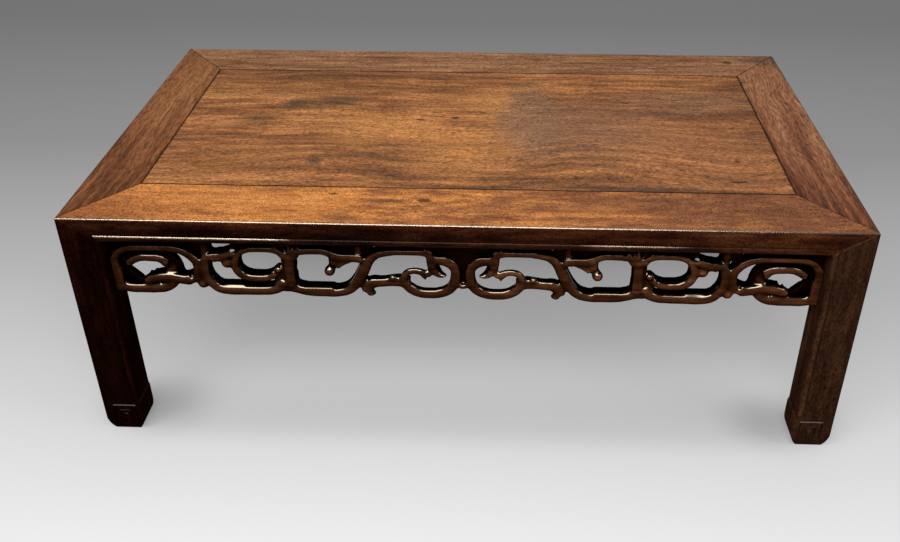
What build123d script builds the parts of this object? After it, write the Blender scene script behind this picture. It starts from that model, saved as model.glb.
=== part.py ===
from build123d import *
import os

# A low kang table in hardwood, four faces flush: each leg stands flush with the frame on both of
# its outer faces and meets the two rails above it in a three-way mitre. A floating panel fills the
# mitred frame, battens carry it, and a pierced scroll apron hangs between each pair of legs.
#
# Millimetres. X runs along the long rails, Y from the front to the back, Z up from the floor.
# The origin is under the middle of the table, at floor level.

# Overall size, without the beads that stand proud of the faces
table_length = 900.0
table_depth = 495.0
table_height = 318.0

# Frame of the top
rail_thickness = 29.0
long_rail_width = 78.0
end_rail_width = 69.0
arris_radius = 2.5

# Bead along the lower edge of the frame and down the inner edge of each leg face, with a fine
# groove, or quirk, that sets it off from the face
bead_width = 7.0
bead_relief = 1.5
bead_foot_gap = 3.0
quirk_width = 1.2
quirk_depth = 0.8

# Legs
leg_width = 46.0
leg_corner_radius = 2.0
hidden_corner_chamfer = 10.0
skin_thickness = 9.0
foot_curve_height = 30.0
foot_inset = 6.5
hoof_height = 51.0
hoof_ledge_drop = 1.0
hoof_swell = 2.5
hoof_straight_height = 30.0
hoof_taper = 11.0

# Joinery
fit_gap = 0.15
end_gap = 0.8
leg_tenon_width = 14.0
leg_tenon_thickness = 10.0
leg_tenon_offset = 13.0
long_tenon_height = 18.0
long_tenon_setback = 26.0
short_tenon_height = 11.0
short_tenon_setback = 28.0
frame_tenon_thickness = 8.0
frame_tenon_width = 20.0
frame_tenon_drop = 6.0
frame_tenon_setback = 38.0
frame_tenon_cover = 12.0

# Floating panel and the battens under it
panel_thickness = 10.0
panel_gap = 0.5
panel_tongue_drop = 4.0
panel_tongue_thickness = 4.5
panel_tongue_length = 7.0
batten_spacing = 330.0
batten_width = 30.0
batten_height = 14.0
dovetail_neck = 16.0
dovetail_head = 20.0
dovetail_height = 3.5
batten_tenon_width = 20.0
batten_tenon_thickness = 8.0
batten_tenon_drop = 3.0
batten_tenon_length = 9.0

# Aprons: pierced boards set back behind the outer faces
apron_depth = 80.0
apron_thickness = 17.0
apron_setback = 10.0
crossing_relief = 3.0

# Loose tongues that hold an apron to its rail and to its legs
tongue_width = 6.0
tongue_thickness = 5.0
tongue_reach = 5.5
end_tongue_height = 14.0
end_tongue_drop = 50.0

# Places worked out from the sizes above
underside = table_height - rail_thickness
half_length = table_length / 2
half_depth = table_depth / 2
inner_half_length = half_length - end_rail_width
inner_half_depth = half_depth - long_rail_width
long_half_span = half_length - leg_width
short_half_span = half_depth - leg_width

# The apron's drawing. Each strand is a run of straight lengths; its wide bends are arcs and its
# tight ones are cut straight across, as in a squared scroll. Points are (along, down): in from
# the face of the leg and down from the underside of the rail. A half apron was drawn this long
# and this deep; an end apron stops at the stem and mirrors there.
drawn_half_span = 404.0
drawn_depth = 80.0
drawn_stem = 206.5
drawn_head_stem = 110.8
drawn_drop = 368.5
band_depth = 7.0

# (points, radius at each bend with 0 for a plain one, width of the strand)
outer_strands = [
    # end stile, top run and the first S curve
    ([(5.75, 77), (5.75, 14.8), (99.3, 14.8), (99.3, 60)], [20, 27], 9.5),
    # lower loop, and the bar that crosses in front of the ring
    ([(4, 67), (28, 74.3), (63, 74.3), (72, 65.3), (72, 56)], [0, 0, 0], 9.6),
    ([(99.3, 47), (91, 60), (68, 57.2), (50, 57.3), (36, 62.5)], [0, 0, 0], 8.6),
    # arm of the dragon's head, running round into the lower run
    (
        [(146, 20), (124, 28.5), (114, 28.5), (108, 34.5), (108, 74.3), (205, 74.3), (205, 50)],
        [0, 0, 0, 30, 23],
        9.6,
    ),
    # crescent with its bud
    (
        [(206, 24), (196, 15), (143.7, 15), (143.7, 56), (184, 56), (192.5, 47.5), (192.5, 42)],
        [0, 19, 20, 0, 0],
        7.6,
    ),
]
ring_strand = (
    [(72, 62), (72, 30), (29.5, 30), (20.5, 39), (20.5, 54), (28.5, 62), (38, 62)],
    [21, 0, 0, 0, 0],
    8.0,
)
inner_strands = [
    # hook above the second lower run
    ([(207, 28), (216, 16), (246, 16), (255.3, 25.5), (254, 42)], [0, 0, 0], 8.0),
    # second lower run, the long S curve and the drop at its end
    ([(208, 50), (208, 74.5), (274, 74.5), (305, 15.2), (368.5, 15.2)], [22, 34, 26], 8.8),
    ([(368.5, 11.5), (368.5, 40), (375.5, 47), (382, 47)], [0, 0], 8.2),
    # big scroll beside the middle line, in three thicknesses
    ([(366, 26), (398.5, 26), (398.5, 54)], [17], 12.0),
    ([(398.5, 42), (398.5, 72.3), (337.5, 72.3), (337.5, 50)], [26, 17], 10.6),
    ([(337.5, 58), (337.5, 48.5), (345.5, 40.5), (354, 40.5), (361.3, 47.8), (361.3, 52)], [0, 0, 0, 0], 7.4),
    # tendril with its foot
    ([(341, 55.5), (306, 54.9), (297, 63.9), (296.5, 74)], [0, 0], 10.5),
]
# Buds: (along, down, radius)
bud_sides = 8
outer_buds = [(103, 62, 6.6), (134.5, 35, 6.6), (192.5, 41, 5), (206.5, 64, 7.2)]
inner_buds = [(251.5, 43.5, 6.4), (296.5, 73.5, 6)]
# Straight-sided parts: corners in order
outer_blocks = [
    # end stile
    [(0, 32), (11.5, 32), (11.5, 77), (0, 77)],
    # stem of the dragon's head
    [(107.5, 0), (114, 0), (114, 28), (107.5, 28)],
    # stem with its crown and foot
    [(200.5, 22), (205.2, 0), (209, 0), (212.5, 22), (212.5, 72.5), (200.5, 72.5)],
    [(197, 66), (216, 66), (216, 72.5), (197, 72.5)],
]
inner_blocks = [
    # dragon's head: skull, ear and jaw
    [(250, 20.8), (289, 20.8), (289, 31), (250, 31)],
    [(281.5, 0), (288, 0), (288, 24), (281.5, 24)],
    [(251, 28), (270, 28), (257, 46), (250, 46)],
    # step on the second lower run
    [(229, 68), (257, 68), (257, 74), (229, 74)],
    # collar across the middle line
    [(396, 48), (404, 48), (404, 60), (396, 57)],
]


def box_between(low, high):
    """A block from its lowest corner to its highest."""
    size = [high[i] - low[i] for i in range(3)]
    middle = [(high[i] + low[i]) / 2 for i in range(3)]
    return Pos(*middle) * Box(*size)


def grown(corners, gap):
    """The hole for a block: the same block with a clearance all round."""
    low, high = corners
    return box_between([value - gap for value in low], [value + gap for value in high])


def in_corner(low, high):
    """Corners of a block measured in from the front left corner of the table, up from the floor."""
    low_corner = (low[0] - half_length, low[1] - half_depth, low[2])
    high_corner = (high[0] - half_length, high[1] - half_depth, high[2])
    return low_corner, high_corner


def mirrored_x(shape):
    return mirror(shape, about=Plane.YZ)


def mirrored_y(shape):
    return mirror(shape, about=Plane.XZ)


def both_ends(shape):
    return shape + mirrored_x(shape)


def both_sides(shape):
    return shape + mirrored_y(shape)


def turned_to_end(shape):
    """A piece drawn along the front, turned to lie along the left end of the table."""
    return Pos(half_depth - half_length, 0, 0) * Rot(0, 0, -90) * shape


# ---------------------------------------------------------------- legs and their joints


def leg_profile():
    """A leg seen square on to one face: X in from its outer corner, Y up from the floor."""
    hoof_width = leg_width + hoof_swell
    sole_width = hoof_width - hoof_taper
    outer_curve = TangentArc((0, foot_curve_height), (foot_inset, 0), tangent=(0, -1))
    upper = Polyline(
        (0, foot_curve_height),
        (0, table_height),
        (leg_width - bead_width, underside + bead_width),
        (leg_width, underside),
        (leg_width, hoof_height),
        (hoof_width, hoof_height - hoof_ledge_drop),
        (hoof_width, hoof_straight_height),
    )
    inner_curve = TangentArc((hoof_width, hoof_straight_height), (sole_width, 0), tangent=(0, -1))
    sole = Line((sole_width, 0), (foot_inset, 0))
    return make_face(Curve() + [outer_curve, upper, inner_curve, sole])


def leg_blank():
    """Post, hoof and mitred skins of the front left leg, before its corner is eased."""
    reach = leg_width + hoof_swell
    seen_from_front = extrude(Plane.XZ * leg_profile(), -reach)
    seen_from_end = extrude(Plane.YZ * leg_profile(), reach)
    blank = Pos(-half_length, -half_depth, 0) * (seen_from_front & seen_from_end)
    low = (skin_thickness, skin_thickness, underside)
    high = (reach, reach, table_height)
    return blank - box_between(*in_corner(low, high))


def front_cover():
    """What the front left leg covers of the front face, as thick as the bead stands proud."""
    return Pos(-half_length, -half_depth, 0) * extrude(Plane.XZ * leg_profile(), bead_relief)


def end_cover():
    """What the same leg covers of the end face."""
    return Pos(-half_length, -half_depth, 0) * extrude(Plane.YZ * leg_profile(), -bead_relief)


def bead_section():
    """Section of a bead: X out of the face is negative, Y across the bead."""
    crown = ThreePointArc((0, 0), (-bead_relief, bead_width / 2), (0, bead_width))
    return make_face(Curve() + [crown, Line((0, bead_width), (0, 0))])


def leg_quirk():
    """Corners of the groove beside the bead on the front face of the front left leg."""
    low = (leg_width - bead_width - quirk_width, 0, hoof_height + bead_foot_gap)
    high = (leg_width - bead_width, quirk_depth, underside + bead_width + quirk_width)
    return low, high


def rail_quirk(length):
    """The groove above the bead of a rail that runs along X, with the rail's face at Y = 0."""
    low = (-length / 2, 0, underside + bead_width)
    high = (length / 2, quirk_depth, underside + bead_width + quirk_width)
    return box_between(low, high)


def long_leg_tenon(extra):
    """Corners of the leg's tenon into the long rail, with some extra height."""
    low = (long_tenon_setback, leg_tenon_offset, underside)
    high = (
        long_tenon_setback + leg_tenon_width,
        leg_tenon_offset + leg_tenon_thickness,
        underside + long_tenon_height + extra,
    )
    return in_corner(low, high)


def short_leg_tenon(extra):
    """Corners of the leg's tenon into the end rail, under the frame's own tenon."""
    low = (leg_tenon_offset, short_tenon_setback, underside)
    high = (
        leg_tenon_offset + leg_tenon_thickness,
        short_tenon_setback + leg_tenon_width,
        underside + short_tenon_height + extra,
    )
    return in_corner(low, high)


def frame_tenon(extra):
    """Corners of the long rail's tenon through the mitre into the end rail, with extra length."""
    top = table_height - frame_tenon_drop
    low = (frame_tenon_cover - extra, frame_tenon_setback, top - frame_tenon_thickness)
    high = (end_rail_width, frame_tenon_setback + frame_tenon_width, top)
    return in_corner(low, high)


def make_front_left_leg(form):
    """Leg with hoof foot, mitred skins, beads and the two tenons on its shoulder.

    The corner that faces the middle of the table is chamfered from top to bottom.
    """
    reach = leg_width + hoof_swell
    inward = Axis((0, 0, 0), (1, 1, 0))
    envelope = box_between(*in_corner((0, 0, 0), (reach, reach, table_height)))
    envelope = fillet(envelope.edges().filter_by(Axis.Z).sort_by(inward)[0], leg_corner_radius)
    hidden_corner = envelope.edges().filter_by(Axis.Z).sort_by(inward)[-1]
    envelope = chamfer(hidden_corner, hidden_corner_chamfer + 2 * hoof_swell)
    leg = leg_blank() & envelope & form

    bead_start = hoof_height + bead_foot_gap
    bead = extrude(bead_section(), underside + bead_width - bead_start)
    front_bead = Pos(leg_width - half_length, -half_depth, bead_start) * Rot(0, 0, 90) * bead
    end_bead = Pos(-half_length, leg_width - bead_width - half_depth, bead_start) * bead
    leg += front_bead & front_cover()
    leg += end_bead & end_cover()
    low, high = leg_quirk()
    leg -= box_between(*in_corner(low, high))
    leg -= box_between(*in_corner((low[1], low[0], low[2]), (high[1], high[0], high[2])))

    leg += box_between(*long_leg_tenon(0))
    leg += box_between(*short_leg_tenon(0))
    for hole in end_tongues(long_half_span, fit_gap, end_gap):
        leg -= hole
    for hole in end_tongues(short_half_span, fit_gap, end_gap):
        leg -= turned_to_end(hole)
    return leg


# ---------------------------------------------------------------- frame, panel and battens


def outer_form():
    """The table as one block with its top edge eased, which the rails and legs are cut from."""
    block = box_between((-half_length, -half_depth, 0), (half_length, half_depth, table_height))
    return fillet(block.edges().group_by(Axis.Z)[-1], arris_radius)


def panel_layer(reach, gap):
    """The flat layer of the panel's tongue, or with a gap the layer of the groove for it."""
    top = table_height - panel_tongue_drop
    low = (-inner_half_length - reach, -inner_half_depth - reach, top - panel_tongue_thickness - gap)
    high = (inner_half_length + reach, inner_half_depth + reach, top + gap)
    return box_between(low, high)


def groove():
    return panel_layer(panel_tongue_length + end_gap, fit_gap)


def dovetail(half_run, gap):
    """The rib of a batten that slides into the panel, along Y."""
    foot = table_height - panel_thickness
    neck = dovetail_neck / 2 + gap
    head = dovetail_head / 2 + gap
    top = foot + dovetail_height + gap
    section = make_face(Polyline((-neck, foot), (neck, foot), (head, top), (-head, top), close=True))
    return extrude(Plane.XZ * section, half_run, both=True)


def batten_tenon(extra):
    """Corners of the tenon on the front end of a batten."""
    top = table_height - panel_thickness - batten_tenon_drop
    low = (-batten_tenon_width / 2, -inner_half_depth - batten_tenon_length - extra, top - batten_tenon_thickness)
    high = (batten_tenon_width / 2, -inner_half_depth, top)
    return low, high


def make_panel():
    """Floating panel, flush with the frame, with its tongue and two dovetail housings."""
    edge_x = inner_half_length - panel_gap
    edge_y = inner_half_depth - panel_gap
    panel = box_between((-edge_x, -edge_y, table_height - panel_thickness), (edge_x, edge_y, table_height))
    panel += panel_layer(panel_tongue_length, 0)
    for side in (-1, 1):
        panel -= Pos(side * batten_spacing / 2, 0, 0) * dovetail(half_depth, fit_gap)
    return panel


def make_left_batten():
    """Batten that butts both long rails, with a dovetail rib and a tenon at each end."""
    top = table_height - panel_thickness
    low = (-batten_width / 2, -inner_half_depth, top - batten_height)
    high = (batten_width / 2, inner_half_depth, top)
    batten = box_between(low, high)
    batten += dovetail(inner_half_depth - panel_gap, 0)
    batten += both_sides(box_between(*batten_tenon(0)))
    return Pos(-batten_spacing / 2, 0, 0) * batten


def make_front_rail(form):
    """Long rail: mitred ends with tenons, groove, mortises and bead."""
    plan = Polyline(
        (-half_length, -half_depth),
        (half_length, -half_depth),
        (inner_half_length, -inner_half_depth),
        (-inner_half_length, -inner_half_depth),
        close=True,
    )
    rail = Pos(0, 0, underside) * extrude(make_face(plan), rail_thickness) & form
    rail += both_ends(box_between(*frame_tenon(0)))
    bead = extrude(Plane.YZ * bead_section(), table_length)
    rail += Pos(-half_length, -half_depth, underside) * bead
    rail -= Pos(0, -half_depth, 0) * rail_quirk(table_length)
    rail -= both_ends(leg_blank())
    rail -= both_ends(front_cover())
    rail -= groove()
    rail -= both_ends(grown(long_leg_tenon(end_gap), fit_gap))
    for side in (-1, 1):
        rail -= Pos(side * batten_spacing / 2, 0, 0) * grown(batten_tenon(end_gap), fit_gap)
    for hole in top_tongues(long_half_span, drawn_half_span, fit_gap, end_gap):
        rail -= hole
    return rail


def make_left_rail(form):
    """End rail: mitred ends with mortises, groove and bead."""
    plan = Polyline(
        (-half_length, -half_depth),
        (-inner_half_length, -inner_half_depth),
        (-inner_half_length, inner_half_depth),
        (-half_length, half_depth),
        close=True,
    )
    rail = Pos(0, 0, underside) * extrude(make_face(plan), rail_thickness) & form
    bead = extrude(Plane.XZ * bead_section(), -table_depth)
    rail += Pos(-half_length, -half_depth, underside) * bead
    rail -= Pos(-half_length, 0, 0) * Rot(0, 0, -90) * rail_quirk(table_depth)
    rail -= both_sides(leg_blank())
    rail -= both_sides(end_cover())
    rail -= groove()
    rail -= both_sides(grown(frame_tenon(end_gap), fit_gap))
    rail -= both_sides(grown(short_leg_tenon(end_gap), fit_gap))
    for hole in top_tongues(short_half_span, drawn_stem, fit_gap, end_gap):
        rail -= turned_to_end(hole)
    return rail


# ---------------------------------------------------------------- aprons and their tongues


def tongue_places(half_span, drawn_span):
    """Where an apron is tongued to its rail: at each strand that reaches up to the band."""
    scale = half_span / drawn_span
    strands = [place for place in (drawn_head_stem, drawn_stem, drawn_drop) if place <= drawn_span]
    offsets = [(drawn_span - place) * scale for place in strands]
    return sorted({offset for offset in offsets} | {-offset for offset in offsets})


def top_tongues(half_span, drawn_span, gap, extra):
    """Loose tongues between the front rail and its apron, or the holes for them."""
    y = apron_setback + apron_thickness / 2 - half_depth
    reach = tongue_reach + extra
    tongues = []
    for x in tongue_places(half_span, drawn_span):
        low = (x - tongue_width / 2, y - tongue_thickness / 2, underside - reach)
        high = (x + tongue_width / 2, y + tongue_thickness / 2, underside + reach)
        tongues.append(grown((low, high), gap))
    return tongues


def end_tongues(half_span, gap, extra):
    """Loose tongues between the end stiles of the front apron and the legs, or their holes."""
    y = apron_setback + apron_thickness / 2 - half_depth
    z = underside - end_tongue_drop
    reach = tongue_reach + extra
    tongues = []
    for x in (-half_span, half_span):
        low = (x - reach, y - tongue_thickness / 2, z - end_tongue_height / 2)
        high = (x + reach, y + tongue_thickness / 2, z + end_tongue_height / 2)
        tongues.append(grown((low, high), gap))
    return tongues


class Drawing:
    """Carries the apron's drawing onto the left half of an apron of a given half span."""

    def __init__(self, half_span, drawn_span):
        self.drawn_span = drawn_span
        self.across = half_span / drawn_span
        self.upright = apron_depth / drawn_depth
        self.thickness = min(self.across, self.upright)

    def place(self, along, down):
        return ((along - self.drawn_span) * self.across, underside - down * self.upright)

    def strand(self, points, radii, width):
        placed = [self.place(*point) for point in points]
        path = FilletPolyline(*placed, radius=[radius * self.thickness for radius in radii])
        return trace(path, width * self.thickness)

    def bud(self, along, down, radius):
        return Pos(*self.place(along, down)) * RegularPolygon(radius * self.thickness, bud_sides)

    def block(self, corners):
        return make_face(Polyline(*[self.place(*corner) for corner in corners], close=True))


def make_front_apron(half_span, drawn_span):
    """Pierced scroll apron along the front, its carved face set back behind the leg's face."""
    drawing = Drawing(half_span, drawn_span)
    strands = list(outer_strands)
    buds = list(outer_buds)
    blocks = list(outer_blocks)
    if drawn_span > drawn_stem:
        strands += inner_strands
        buds += inner_buds
        blocks += inner_blocks

    half = Sketch()
    half += [drawing.strand(*strand) for strand in strands]
    half += [drawing.bud(*bud) for bud in buds]
    half += [drawing.block(block) for block in blocks]
    band = Pos(0, underside - band_depth / 2) * Rectangle(2 * half_span, band_depth)
    field = Pos(0, underside - apron_depth / 2) * Rectangle(2 * half_span, apron_depth)
    openwork = (half + mirror(half, about=Plane.YZ) + band) & field
    ring = drawing.strand(*ring_strand)
    rings = ring + mirror(ring, about=Plane.YZ)

    front = apron_setback - half_depth
    back_depth = apron_thickness - crossing_relief
    apron = Pos(0, front, 0) * extrude(Plane.XZ * openwork, apron_thickness, dir=(0, 1, 0))
    apron += Pos(0, front + crossing_relief, 0) * extrude(Plane.XZ * rings, back_depth, dir=(0, 1, 0))
    for hole in top_tongues(half_span, drawn_span, fit_gap, end_gap):
        apron -= hole
    for hole in end_tongues(half_span, fit_gap, end_gap):
        apron -= hole
    return apron


# ---------------------------------------------------------------- the table


form = outer_form()
front_rail = make_front_rail(form)
left_rail = make_left_rail(form)
left_batten = make_left_batten()
front_left_leg = make_front_left_leg(form)
back_left_leg = mirrored_y(front_left_leg)
front_apron = make_front_apron(long_half_span, drawn_half_span)
left_apron = turned_to_end(make_front_apron(short_half_span, drawn_stem))
front_top_tongues = Compound(top_tongues(long_half_span, drawn_half_span, 0, 0))
front_end_tongues = Compound(end_tongues(long_half_span, 0, 0))
left_top_tongues = turned_to_end(Compound(top_tongues(short_half_span, drawn_stem, 0, 0)))
left_end_tongues = turned_to_end(Compound(end_tongues(short_half_span, 0, 0)))

pieces = {
    "top_panel": make_panel(),
    "front_frame_rail": front_rail,
    "back_frame_rail": mirrored_y(front_rail),
    "left_frame_rail": left_rail,
    "right_frame_rail": mirrored_x(left_rail),
    "left_batten": left_batten,
    "right_batten": mirrored_x(left_batten),
    "front_left_leg": front_left_leg,
    "front_right_leg": mirrored_x(front_left_leg),
    "back_left_leg": back_left_leg,
    "back_right_leg": mirrored_x(back_left_leg),
    "front_apron": front_apron,
    "back_apron": mirrored_y(front_apron),
    "left_apron": left_apron,
    "right_apron": mirrored_x(left_apron),
    "front_apron_top_tongues": front_top_tongues,
    "back_apron_top_tongues": mirrored_y(front_top_tongues),
    "left_apron_top_tongues": left_top_tongues,
    "right_apron_top_tongues": mirrored_x(left_top_tongues),
    "front_apron_end_tongues": front_end_tongues,
    "back_apron_end_tongues": mirrored_y(front_end_tongues),
    "left_apron_end_tongues": left_end_tongues,
    "right_apron_end_tongues": mirrored_x(left_end_tongues),
}

os.makedirs("parts", exist_ok=True)
for name, shape in pieces.items():
    export_step(shape, f"parts/{name}.step")
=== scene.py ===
import math

import bmesh
import bpy
from mathutils import Matrix, Vector


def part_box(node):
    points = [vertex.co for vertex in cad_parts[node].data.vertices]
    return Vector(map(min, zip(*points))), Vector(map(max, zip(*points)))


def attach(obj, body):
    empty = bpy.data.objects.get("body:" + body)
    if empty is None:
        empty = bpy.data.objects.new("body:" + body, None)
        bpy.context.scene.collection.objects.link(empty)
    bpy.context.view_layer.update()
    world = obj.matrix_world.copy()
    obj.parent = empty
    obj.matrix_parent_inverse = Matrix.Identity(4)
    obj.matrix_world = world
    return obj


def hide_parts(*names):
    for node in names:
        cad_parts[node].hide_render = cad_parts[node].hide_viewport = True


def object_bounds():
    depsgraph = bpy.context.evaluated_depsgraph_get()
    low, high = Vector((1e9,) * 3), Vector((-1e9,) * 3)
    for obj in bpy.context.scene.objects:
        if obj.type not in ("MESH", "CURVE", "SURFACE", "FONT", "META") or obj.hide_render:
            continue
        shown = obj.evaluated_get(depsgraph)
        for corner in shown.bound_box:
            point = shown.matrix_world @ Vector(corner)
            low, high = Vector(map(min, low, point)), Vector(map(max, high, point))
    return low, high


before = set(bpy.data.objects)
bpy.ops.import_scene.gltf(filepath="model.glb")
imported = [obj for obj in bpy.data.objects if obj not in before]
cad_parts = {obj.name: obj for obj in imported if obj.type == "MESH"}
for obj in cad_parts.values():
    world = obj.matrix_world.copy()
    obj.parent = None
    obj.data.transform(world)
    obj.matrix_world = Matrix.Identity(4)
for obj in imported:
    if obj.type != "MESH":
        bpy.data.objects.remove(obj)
cad_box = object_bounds()

MM = 0.001

# Sizes of the table, from the frame. The beads stand proud of its outer faces.
BEAD_RELIEF = 1.5 * MM
high_corner = Vector(cad_box[1])
apron_low, apron_high = [Vector(corner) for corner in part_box("front_apron")]
end_apron_low, end_apron_high = [Vector(corner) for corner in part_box("left_apron")]
rail_low, rail_high = [Vector(corner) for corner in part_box("front_frame_rail")]
end_rail_high = Vector(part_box("left_frame_rail")[1])
table_height = high_corner.z
frame_half_length = high_corner.x - BEAD_RELIEF
frame_half_depth = high_corner.y - BEAD_RELIEF
underside = rail_low.z
rail_thickness = table_height - underside
long_rail_width = frame_half_depth + rail_high.y
end_rail_width = frame_half_length + end_rail_high.x
leg_width = frame_half_length - apron_high.x
apron_thickness = apron_high.y - apron_low.y

# Sizes that the frame doesn't give
BEAD_WIDTH = 7 * MM
BEAD_ZONE = 9 * MM      # the bead with its groove
HOOF_HEIGHT = 51 * MM


# ------------------------------------------------------------------ helpers


def linear(code):
    """Linear RGBA of an sRGB hex colour."""
    channels = [int(code[i:i + 2], 16) / 255 for i in (1, 3, 5)]
    return [c / 12.92 if c <= 0.04045 else ((c + 0.055) / 1.055) ** 2.4 for c in channels] + [1.0]


def new_material(name):
    """A material with an empty node tree, and that tree."""
    material = bpy.data.materials.new(name)
    material.use_nodes = True
    material.node_tree.nodes.clear()
    return material, material.node_tree


def add(tree, kind, links=None, stops=None, **settings):
    """Adds a node to a material with its settings, its colour stops and its inputs.

    An input is a value, a socket, or a node that stands for its first output in use.
    """
    node = tree.nodes.new(kind)
    for name, value in settings.items():
        setattr(node, name, value)
    if stops:
        ramp = node.color_ramp
        while len(ramp.elements) < len(stops):
            ramp.elements.new(0.5)
        for element, (place, colour) in zip(ramp.elements, stops):
            element.position = place
            element.color = linear(colour)
    for socket, source in (links or {}).items():
        if isinstance(source, bpy.types.Node):
            source = next(output for output in source.outputs if output.enabled)
        if isinstance(source, bpy.types.NodeSocket):
            tree.links.new(source, node.inputs[socket])
        else:
            node.inputs[socket].default_value = source
    return node


def evaluated_mesh(obj, name):
    """The mesh that a curve or a modifier gives, with the object itself taken away."""
    graph = bpy.context.evaluated_depsgraph_get()
    mesh = bpy.data.meshes.new_from_object(obj.evaluated_get(graph))
    mesh.name = name
    bpy.data.objects.remove(obj)
    return mesh


# ------------------------------------------------------------------ colours of the wood


# Tones from the dark heart to the pale figure
PANEL_TONES = [(0.26, "#62402a"), (0.40, "#7f5131"), (0.50, "#905d38"), (0.62, "#a66d40"), (0.80, "#b87d4a")]
BACK_TONES = [(0.26, "#68452b"), (0.42, "#80573a"), (0.50, "#8b6043"), (0.62, "#986c4b"), (0.80, "#a67953")]
FRONT_TONES = [(0.20, "#6d4026"), (0.38, "#855131"), (0.50, "#9d6437"), (0.66, "#c07a3e"), (0.85, "#d08c4c")]
LEFT_TONES = [(0.26, "#54301c"), (0.42, "#6c4126"), (0.50, "#75482b"), (0.62, "#815232"), (0.80, "#8d5e38")]
RIGHT_TONES = [(0.26, "#502c1c"), (0.42, "#693f2a"), (0.50, "#744831"), (0.62, "#82543a"), (0.80, "#936445")]
# Upright faces, painted nearly black as painted shade
SHADED_SIDE_TONES = [(0.20, "#0f0503"), (0.40, "#1c0a05"), (0.60, "#2c140a"), (0.84, "#432413")]
# Legs, painted near black as painted shade, deeper on the left legs than on the right
SHADED_LEFT_LEG_TONES = [(0.26, "#0b0301"), (0.44, "#110402"), (0.58, "#180603"), (0.80, "#220c06")]
LIT_RIGHT_LEG_TONES = [(0.26, "#28160e"), (0.44, "#331e13"), (0.58, "#3a2417"), (0.80, "#462d1d")]
CARVED_TONES = [(0.30, "#2a140b"), (0.46, "#4a2816"), (0.60, "#6a3e25"), (0.76, "#8e5a35")]

SMOKE = "#4f3c2d"
GREY_BROWN = "#82614a"
RUDDY = "#a16a44"
UMBER = "#7d5230"
HONEY = "#b87c46"
PIT = "#2c1c14"
CORNER_RED = "#7f482b"
AMBER = "#985d30"
DUSK = "#6a4430"
WARM_WAX = "#ffe6c8"

# Places where the grain arches round the dark figure, in mm: x, y, half length, half width, rise
PANEL_LIFT = [
    (175, -75, 95, 55, 26),
    (-180, -100, 60, 28, 10),
    (-225, 60, 90, 26, 8),
]
# Clouds, smoky spots and knots, in mm: x, y, half length, half width, softness, strength, colour
PANEL_MARKS = [
    (72, 20, 46, 105, 0.35, 0.60, GREY_BROWN),
    (150, -10, 95, 75, 0.8, 0.50, GREY_BROWN),
    (300, 80, 80, 38, 0.5, 0.45, GREY_BROWN),
    (-110, -20, 70, 45, 0.8, 0.60, HONEY),
    (-5, -80, 60, 55, 0.8, 0.50, HONEY),
    (25, 75, 22, 40, 0.7, 0.50, HONEY),
    (300, -70, 110, 80, 0.8, 0.45, RUDDY),
    (-290, -110, 90, 42, 0.8, 0.60, UMBER),
    (-300, 110, 120, 40, 0.8, 0.35, UMBER),
    (-245, 54, 22, 13, 0.7, 0.90, SMOKE),
    (-195, 56, 36, 11, 0.7, 0.85, SMOKE),
    (-176, 70, 26, 8, 0.7, 0.70, SMOKE),
    (-285, 8, 26, 9, 0.7, 0.70, SMOKE),
    (-185, -108, 9, 12, 0.7, 0.75, SMOKE),
    (-140, -95, 46, 5, 0.7, 0.50, SMOKE),
    (-100, -66, 20, 4, 0.7, 0.50, SMOKE),
    (-69, 10, 6, 2.2, 0.4, 0.85, PIT),
    (-26, 18, 5, 2.0, 0.4, 0.85, PIT),
    (213, 71, 5, 2.0, 0.4, 0.80, PIT),
    (324, -84, 3, 5, 0.4, 0.60, PIT),
    (319, -136, 9, 2.4, 0.4, 0.75, PIT),
    (205, -163, 150, 7, 0.7, 0.60, SMOKE),
    (-30, -165, 60, 4, 0.6, 0.55, SMOKE),
]
FRONT_MARKS = [
    (-430, -235, 80, 44, 0.8, 0.8, CORNER_RED),
    (-290, -208, 150, 60, 0.9, 0.45, AMBER),
    (-82, -196, 24, 4, 0.6, 0.70, SMOKE),
    (-38, -194, 9, 4, 0.4, 0.85, PIT),
    (-155, -183, 5, 2.5, 0.4, 0.70, PIT),
    (340, -208, 200, 70, 0.9, 0.45, DUSK),
]
BACK_MARKS = [
    (369, 217, 8, 5, 0.4, 0.75, PIT),
    (432, 238, 34, 26, 0.8, 0.65, SMOKE),
]
RIGHT_MARKS = [
    (440, 232, 30, 34, 0.8, 0.65, SMOKE),
]
# Polish of the front bead from -X to +X, where white is fully polished
FRONT_BEAD_WEAR = [
    (0.0, "#ffffff"), (0.26, "#ffffff"), (0.29, "#303030"), (0.64, "#303030"),
    (0.68, "#b8b8b8"), (0.74, "#b8b8b8"), (0.78, "#303030"),
]


# ------------------------------------------------------------------ figure of the wood


GRAIN_TURNS = {
    "x": (0, 0, 0),
    "y": (0, 0, math.radians(90)),
    "z": (0, math.radians(90), 0),
}
SWELLS = 4.0       # per metre, so about 250 mm long
SWELL_X = 50 * MM  # how far a swell pushes the figure along X
# Layers that set the tone: how many per metre along and across the fibres, detail, share
TONE_LAYERS = [
    (4.0, 9.0, 3.0, 0.70),      # cloudy heartwood, patches of 250 by 110 mm
    (4.0, 38.0, 3.0, 0.60),     # growth bands about 26 mm wide
    (13.0, 115.0, 4.0, 0.95),   # streaks 77 mm long and 9 mm wide
]
# Layers that only lighten and darken. Real pores are a few tenths of a millimetre wide and would
# not show, so these are drawn coarser.
FINE_LAYERS = [
    (60.0, 300.0, 4.0, 1.5),    # flecks of 17 by 3.3 mm
    (230.0, 480.0, 3.0, 3.0),   # open pores of 4 by 2 mm
]


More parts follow.
